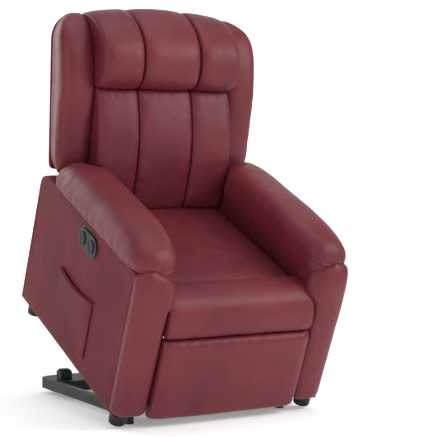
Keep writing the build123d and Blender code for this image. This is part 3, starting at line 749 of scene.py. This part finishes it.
def arm_pad(seed):
    n = 92
    ys = np.r_[-360 + 38 * (1 - np.cos(np.linspace(0, math.pi / 2, 16))), np.linspace(-318, 262, 78), 262 + 26 * np.sin(np.linspace(0.12, math.pi / 2, 8))]
    secs = []
    for yy in ys:
        zt, zb, zi = float(ZT(np.array([yy]))[0]), float(ZB(np.array([yy]))[0]), float(ZI(np.array([yy]))[0])
        H = zt - zb
        nose = min(max((-yy - 246) / 114, 0), 1)
        g = min(max((yy - 196) / 34, 0), 1)
        g = g * g * (3 - 2 * g)
        nin = min(max((-yy - 178) / 182, 0), 1)
        xo = 378 - 12 * nose ** 2 - 3 * g
        xi = 213 + 34 * nin ** 1.5 + 36 * g
        xl = 255 - 6 * g - 4 * nose
        zo = zb + 7 * nose ** 2
        zl = zb - 12 * nose ** 2
        dp = min(max((-330 - yy) / 16, 0), 1)
        ctrl = [(xo - 7, zo), (xo - 1, zo + 0.16 * (zt - zo)), (xo, zo + 0.40 * (zt - zo)), (xo - 12, zb + 0.74 * H), (xo - 40, zb + 0.95 * H),
                ((xo + xi) / 2, zt), (xi + 34, zb + 0.95 * H), (xi + 8, zb + 0.72 * H), (xi, zb + 0.40 * H), (xi + 2, zl + 0.02 * H),
                (xi + (xl - xi) * 0.42, zb + (zi - zb) * 0.40), (xi + (xl - xi) * 0.84, zb + (zi - zb) * 0.80), (xl + 2, zi), (262, zi),
                (264.5, (zi + zb) / 2), (274, (zl + zb) / 2 - 1), (320, (zb + zo) / 2 - 1)]
        L = closed_curve(ctrl, n)
        a = min(max((-322 - yy) / 38, 0), 1)
        b = min(max((yy - 262) / 26, 0), 1)
        sc = (1 - min(a, 0.998) ** 2.3) ** (1 / 2.3) * (1 - min(b, 0.998) ** 3) ** (1 / 3.0)
        cx = np.array([(xo + xi) / 2, (zt + zb) / 2])
        L = cx + (L - cx) * (0.25 + 0.75 * sc if sc > 0.1 else 0.25 * sc / 0.1 + 0.75 * sc)
        secs.append(L)
    pts, faces = loft(secs, lambda i, L: np.stack([L[:, 0], np.full(len(L), ys[i]), L[:, 1]], 1))
    k = len(secs)
    ring = np.r_[np.tile(np.arange(n), k), 0, 0] / n
    nose = np.clip((-pts[:, 1] - 236) / 122, 0, 1)
    low = np.exp(-((pts[:, 2] - 516) / 24) ** 2)
    am = cloth_relief(pts, seed, 1.4, 0.4)
    fold = np.sin(pts[:, 2] / 3.1 + pts[:, 0] / 26 + 1.6 * np.sin(pts[:, 0] / 31 + seed))
    am = am + nose ** 1.3 * fold * 1.7 * np.exp(-((pts[:, 2] - 518) / 17) ** 2)
    am = am + nose * 1.9 * ridges(pts, seed + 6, (0.75, 0.45, 0.5), 25) * np.exp(-((pts[:, 2] - 528) / 24) ** 2)
    am = am + low * np.clip((pts[:, 0] - 350) / 20, 0, 1) * np.sin(pts[:, 1] / 8.5 + 2.2 * np.sin(pts[:, 1] / 47 + seed)) * 1.0
    am = am + 1.3 * ridges(pts, seed + 3, (0.2, 1, 0.5), 30) * np.exp(-((pts[:, 1] - 215) / 60) ** 2) * np.clip((pts[:, 2] - 500) / 40, 0, 1)
    am = am + 1.1 * ridges(pts, seed + 4, (0.1, 1, -0.7), 38) * np.exp(-((pts[:, 1] + 40) / 190) ** 2) * np.clip((520 - pts[:, 2]) / 40, 0, 1) * (pts[:, 0] < 262)
    am[-2:] = 0
    return swell(pts, faces, am), faces


for side, sd in (("right", 41), ("left", 43)):
    pts, faces = arm_pad(sd)
    piece("armrest_" + side, pts if side == "right" else mirror_pts(pts), faces, "chair", ("arm_pad_" + side, "arm_inner_panels"))

# arm fronts
XIN = profile([(39, 259), (300, 259), (385, 257), (400, 254.8), (407, 244), (422, 237), (440, 234.5), (466, 238), (488, 250), (504, 268), (515, 290), (523, 312)])
XOUT = profile([(39, 372.6), (250, 373), (440, 373.8), (485, 373.6), (500, 371.5), (510, 366), (517, 352), (523, 330)])
YF = profile([(39, -388), (400, -391), (440, -390), (474, -384), (500, -374), (523, -360)])


def arm_front(seed):
    P, faces = cube_grid(28, 84, 8)
    q = rounded(P, np.where(P[:, 0] > 0, 2.7, 7.0), 40, np.where(P[:, 2] < 0, 30, 2.6))
    u, v, w = q[:, 0], q[:, 1], q[:, 2]
    z = 281 + v * 242
    xi, xo, yf = XIN(z), XOUT(z), YF(z)
    x = (xi + xo) / 2 + u * (xo - xi) / 2
    yr = -341.0
    bulge = np.clip((z - 385) / 60, 0, 1)
    fr = yf - 5 * (1 - u ** 2) + 8 * np.clip((np.abs(u) - 0.7) / 0.3, 0, 1) ** 2 + bulge * 22 * np.clip(-u - 0.15, 0, 1) ** 2
    y = (fr + yr) / 2 - w * (yr - fr) / 2
    pts = np.stack([x, y, z], 1)
    am = cloth_relief(pts, seed, 1.1, 0.35) * np.clip(w, 0, 1)
    am = am + np.clip(w, 0, 1) * np.exp(-((z - 506) / 20) ** 2) * np.sin(pts[:, 0] / 5.5 + 1.5 * np.sin(pts[:, 0] / 23 + seed)) * 0.7
    am = am + np.clip(w, 0, 1) * np.exp(-((z - 440) / 30) ** 2) * np.clip(-u, 0, 1) ** 2 * np.sin(z / 6.0 + seed) * 0.9
    pts = swell(pts, faces, am)
    # recess behind the lower edge, where the base rail stands when the chair is down
    low = (pts[:, 1] > -378.5) & (pts[:, 0] < 293) & (pts[:, 2] < 66)
    pts[low, 2] = 66.0
    return pts, faces


for side, sd in (("right", 51), ("left", 53)):
    pts, faces = arm_front(sd)
    piece("arm_front_" + side, pts if side == "right" else mirror_pts(pts), faces, "chair", ("arm_front_bolster_" + side,))


# side panels
def side_panel(seed):
    P, faces = cube_grid(2, 70, 48)
    x, v, w = P[:, 0], P[:, 1], P[:, 2]
    R = 48.0
    y0, y1, z0, z1 = -350.0, 388.0, 39.5, 508.0
    y = (y0 + y1) / 2 + v * (y1 - y0) / 2
    z = (z0 + z1) / 2 + w * (z1 - z0) / 2
    a, b = np.clip((y - (y1 - R)) / R, 0, 1), np.clip((z - (z1 - R)) / R, 0, 1)
    inb = (a > 0) & (b > 0)
    y = np.where(inb, y1 - R + R * a * np.sqrt(1 - b ** 2 / 2), y)
    z = np.where(inb, z1 - R + R * b * np.sqrt(1 - a ** 2 / 2), z)
    edge = np.minimum(1 - np.abs(v), 1 - np.abs(w))
    puff = 2.2 * (1 - np.exp(-edge / 0.02)) + 0.9 * np.sin(v * 2.2 + 1) * np.cos(w * 2.0)
    q = np.stack([x * 0, y, z], 1)
    puff = puff + 0.9 * fbm(q, 0.006, seed, 2) + 0.35 * ridges(q, seed, (0, 1, 0.6), 90) * np.exp(-((z - 300) / 160) ** 2)
    xx = np.where(x > 0, 370.4 + puff, 366.4)
    return np.stack([xx, y, z], 1), faces


for side, sd in (("right", 61), ("left", 63)):
    pts, faces = side_panel(sd)
    piece("side_cover_" + side, pts if side == "right" else mirror_pts(pts), faces, "chair", ("side_panel_" + side,), mat=MAT_PANEL)

# leather over the top and the rounded rear corner of each arm box
path = [(225, 506.6), (300, 506.8), (340, 506.6), (362, 502), (379, 490), (387, 470), (388.4, 452), (388.4, 436)]
cp_rear = curve(path)(np.linspace(0, 1, 34))
cp_front = curve([(-344.5, 470), (-345, 494), (-339, 505), (-325, 507), (-285, 507), (-230, 506.6)])(np.linspace(0, 1, 34))
allp, allf = [], []
for sgn, cp in ((1, cp_rear), (-1, cp_rear), (1, cp_front), (-1, cp_front)):
    secs = []
    for k in range(len(cp)):
        a, b = cp[max(k - 1, 0)], cp[min(k + 1, len(cp) - 1)]
        t = (b - a) / np.linalg.norm(b - a)
        nrm = np.array([-t[1], t[0]])
        secs.append((cp[k], nrm))
    xsn = np.linspace(262.4, 371.6, 20)
    V, F = [], []
    for (c, nr) in secs:
        for s_ in (0, 1):
            for xx in xsn:
                e = min(xx - 262.4, 371.6 - xx)
                h = 2.6 * (1 - math.exp(-e / 8)) if s_ == 0 else -2.2
                V.append((sgn * xx, c[0] + nr[0] * h, c[1] + nr[1] * h))
    m = len(xsn)
    ring = list(range(m)) + [m + j for j in reversed(range(m))]
    for k in range(len(secs) - 1):
        for j in range(len(ring)):
            a, b = ring[j], ring[(j + 1) % len(ring)]
            F.append((k * 2 * m + a, k * 2 * m + b, (k + 1) * 2 * m + b, (k + 1) * 2 * m + a))
    for j in range(m - 1):
        F.append((j, j + 1, m + j + 1, m + j))
        o_ = (len(secs) - 1) * 2 * m
        F.append((o_ + j, o_ + m + j, o_ + m + j + 1, o_ + j + 1))
    off = sum(len(q) for q in allp)
    allp.append(np.array(V))
    allf += [tuple(i + off for i in f) for f in F]
piece("arm_box_top_covers", np.vstack(allp), allf, "chair", (), mat=MAT_PANEL, subsurf=0)

# rear cover of the back
P, faces = cube_grid(60, 50, 4)
q = rounded(P, 40, 30, np.where(P[:, 2] > 0, 3.5, 30))
u, v, w = q[:, 0], q[:, 1], q[:, 2]
t = (v + 1) / 2
half_w = 352 - 38 * np.clip((t - 0.84) / 0.16, 0, 1) ** 2.2
y = 389 + t * 171 + w * 6.5 + 3.5 * (1 - u ** 2) * np.clip(w, 0, 1)
z = 514 + t * (490 - 15 * u ** 2) - w * 2.4
pts = np.stack([u * half_w, y, z], 1)
pts[:, 1] += np.clip(w, 0, 1) * (cloth_relief(pts, 71, 1.0, 0.3) + 0.8 * ridges(pts, 72, (1, 0, 0.25), 130) * (1 - v ** 2))
piece("back_rear_panel", pts, faces, "backrest", ("back_rear_cover",), mat=MAT_PANEL)

# leather flap that closes the gap below the rear cover of the back; it hangs behind the lower cover,
# so that it slides down past it as the back leans
flap = curve([(391, 526), (392, 505), (392, 478), (391.5, 450), (391, 408)])(np.linspace(0, 1, 26))
P, faces = cube_grid(48, 25, 2)
u, v, w = P[:, 0], P[:, 1], P[:, 2]
k = np.clip(np.round((1 - v) / 2 * 25).astype(int), 0, 25)
wave = 1.6 * np.sin(u * 9 + 1.2 * np.sin(u * 4)) * ((1 - v) / 2) ** 1.4
pts = np.stack([u * 250.5, flap[k, 0] + np.where(w > 0, 1.6, -1.6) + wave, flap[k, 1] + 1.2 * np.sin(u * 7) * (v < -0.99)], 1)
piece("back_lower_flap", pts, faces, "backrest", (), mat=MAT_PANEL, subsurf=0)

# lower rear cover and the rear faces of the arm boxes
allp, allf = [], []
for x0, x1, z0, z1 in ((-261.6, 261.6, 60, 415), (262.4, 372, 44, 437), (-372, -262.4, 44, 437)):
    P, faces = cube_grid(34, 30, 2)
    u, v, w = P[:, 0], P[:, 1], P[:, 2]
    wide = abs(x1 - x0) > 300
    yb, yf_ = (384.0, 374.2) if wide else (388.6, 373.0)
    edge = np.minimum((1 - np.abs(u)) * abs(x1 - x0) / 2, (1 - np.abs(v)) * (z1 - z0) / 2)
    puff = 2.0 * (1 - np.exp(-edge / 7.0))
    x = (x0 + x1) / 2 + u * (x1 - x0) / 2
    z = (z0 + z1) / 2 + v * (z1 - z0) / 2
    y = np.where(w > 0, yb - 2.0 + puff, yf_)
    Q = np.stack([x, y, z], 1)
    off = sum(len(k) for k in allp)
    allp.append(Q)
    allf += [tuple(i + off for i in f) for f in faces]
piece("rear_covers", np.vstack(allp), allf, "chair", ("rear_panels",), mat=MAT_PANEL, subsurf=0)

# ------------------------------------------------------------------ side pocket
P, faces = cube_grid(40, 34, 2)
u, v, w = P[:, 0], P[:, 1], P[:, 2]
t = (v + 1) / 2
sag = 15 * (1 - u ** 2) * np.clip((t - 0.6) / 0.4, 0, 1) ** 1.5
out = 6.0 * np.clip((t - 0.15) / 0.85, 0, 1) ** 1.2 * (1 - np.abs(u) ** 5)
x = -374.4 - out - np.where(w < 0, 2.4, 0.0) - np.where(w < 0, 0.8 * np.sin(v * 5 + 1) * (1 - u ** 2), 0)
y = -3.5 + u * 125.5
z = 92 + t * 208 - sag
piece("pocket_panel", np.stack([x, y, z], 1), faces, "chair", ("side_pocket",), mat=MAT_PANEL)
# turned hem along the pocket's top
hem = [(-381.2 - 5.4 * (1 - abs(k) ** 5) + (0 if abs(k) < 0.999 else 3.0), -3.5 + k * 125, 300 - 15 * (1 - k ** 2) - 5) for k in np.linspace(-1, 1, 40)]
V, F = tube_bits(hem, 2.4, sides=10)
piece("pocket_hem", V, F, "chair", (), mat=MAT_PANEL)

# ------------------------------------------------------------------ seams and stitching
def arc(points, n=60):
    return curve(points)(np.linspace(0, 1, n))


S = surfaces
for nm, xs_ in (("left", (-237, -107)), ("centre", (-92, 92)), ("right", (107, 237))):
    for xx in xs_:
        ln = [(xx, q[0], q[1]) for q in LUMB_F(np.linspace(0.10, 0.94, 60))]
        stitch_run("backrest", S["back_cushion_" + nm], ln, (0, 0.94, 0.34 * -1))
for nm, xs_ in (("left", (-245, -112)), ("centre", (-97, 97)), ("right", (112, 245))):
    for xx in xs_:
        ln = [(xx, q[0], q[1]) for q in HEAD_F(np.linspace(0.22, 0.86, 60))]
        stitch_run("backrest", S["head_pillow_" + nm], ln, (0, 0.86, -0.5))
for sgn, side in ((1, "right"), (-1, "left")):
    for dz in (0,):
        stitch_run("chair", S["arm_front_" + side], [(sgn * 372, -366, z_) for z_ in np.linspace(60, 470, 60)], (-sgn, 0, 0))
        stitch_run("chair", S["side_cover_" + side], [(sgn * 372, -332, z_) for z_ in np.linspace(60, 486, 60)], (-sgn, 0, 0))
    stitch_run("chair", S["side_cover_" + side], [(sgn * 372, y_, 496) for y_ in np.linspace(-320, 330, 80)], (-sgn, 0, 0))
stitch_run("chair", S["seat_pad"], [(x_, -250, 430) for x_ in np.linspace(-236, 236, 60)], (0, 0, -1))
stitch_run("legrest", S["leg_pad"], [(x_, -412, 288) for x_ in np.linspace(-244, 244, 60)], (0, 1, 0))
for yy in (-121, 114):
    stitch_run("chair", S["pocket_panel"], [(-380, yy, z_) for z_ in np.linspace(98, 288, 40)], (1, 0, 0))
stitch_run("chair", S["pocket_panel"], [(-380, y_, 99) for y_ in np.linspace(-118, 111, 40)], (1, 0, 0))
for body, (vv, ff) in stitch_store.items():
    o = new_object("stitching_" + body, CH(np.vstack(vv)), ff, MAT_THREAD)
    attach(o, body)

# ------------------------------------------------------------------ hand switch: bezel and rings
def ring_path(cx, cz, r, n=48):
    return [(cx + r * math.cos(k * 2 * math.pi / n), cz + r * math.sin(k * 2 * math.pi / n)) for k in range(n + 1)]


def oval(hw, r, n=96):
    """Slot outline in (y, z) about the switch's middle."""
    out = []
    for k in range(n):
        a = 2 * math.pi * k / n
        out.append((hw * (1 if math.cos(a) >= 0 else -1) * 1.0 * min(1, abs(math.cos(a)) * 3) + r * math.cos(a), r * math.sin(a)))
    return np.array(out)


secs = []
stations = [(0.0, 0.0), (0.5, 0.3), (1.1, 1.0), (1.45, 2.4), (1.45, 5.0)]
loops = []
for dx, inset in stations:
    loops.append((dx, oval(27, 41 - inset)))
pts, faces = loft([l for _, l in loops], lambda i, L: np.stack([np.full(len(L), -372.4 - loops[i][0]), -23 + L[:, 0], 452 + L[:, 1]], 1))
o = new_object("switch_bezel", CH(pts), faces, MAT_GLOSS)
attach(o, "chair")
for k, (cy, body) in enumerate(((-55, "button_front"), (9, "button_rear"))):
    V, F = [], []
    for rr, tr, xx in ((22.6, 1.2, -378.3),):
        a, b = tube_bits([(xx, p_[0], p_[1]) for p_ in ring_path(cy, 452, rr)], tr, sides=10)
        V.append(a)
        F += b
    o = new_object("switch_ring_%d" % k, CH(np.vstack(V)), F, MAT_GLOSS)
    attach(o, "chair")
    a, b = tube_bits([(-380.7, p_[0], p_[1]) for p_ in ring_path(cy, 452, 14.5)], 0.8, sides=8)
    o = new_object("switch_button_ring_%d" % k, CH(a), b, MAT_PLASTIC)
    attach(o, body)


# ------------------------------------------------------------------ floor
prof = [(-14.0, 0.0), (8.6, 0.0)] + [(8.6 + 2.4 * math.sin(a), 2.4 - 2.4 * math.cos(a)) for a in np.linspace(0.1, math.pi / 2, 14)] + [(11.0, 13.0)]
V = [(x_, p_[0], p_[1]) for p_ in prof for x_ in (-22.0, 22.0)]
F = [(2 * k, 2 * k + 1, 2 * k + 3, 2 * k + 2) for k in range(len(prof) - 1)]
me = bpy.data.meshes.new("studio_sweep")
me.from_pydata(V, [], F)
for q_ in me.polygons:
    q_.use_smooth = True
floor = bpy.data.objects.new("studio_sweep", me)
scene.collection.objects.link(floor)
m, nt, b = material("pale_sweep")
t = nt.nodes.new("ShaderNodeTexCoord")
n = tex_noise(nt, t.outputs["Object"], 2.0, 2, 0.5)
nt.links.new(ramp(nt, n, [(0.3, (0.91, 0.91, 0.91)), (0.7, (0.93, 0.93, 0.93))]), b.inputs["Base Color"])
b.inputs["Roughness"].default_value = 0.9
b.inputs["Specular IOR Level"].default_value = 0.1
b.inputs["Emission Color"].default_value = (1, 1, 1, 1)
sep = nt.nodes.new("ShaderNodeSeparateXYZ")
nt.links.new(t.outputs["Object"], sep.inputs[0])
glow = nt.nodes.new("ShaderNodeMapRange")
glow.inputs["From Min"].default_value = 1.5
glow.inputs["From Max"].default_value = 7.5
glow.inputs["To Min"].default_value = 0.24
glow.inputs["To Max"].default_value = 0.62
nt.links.new(sep.outputs["Y"], glow.inputs[0])
nt.links.new(glow.outputs[0], b.inputs["Emission Strength"])
me.materials.append(m)
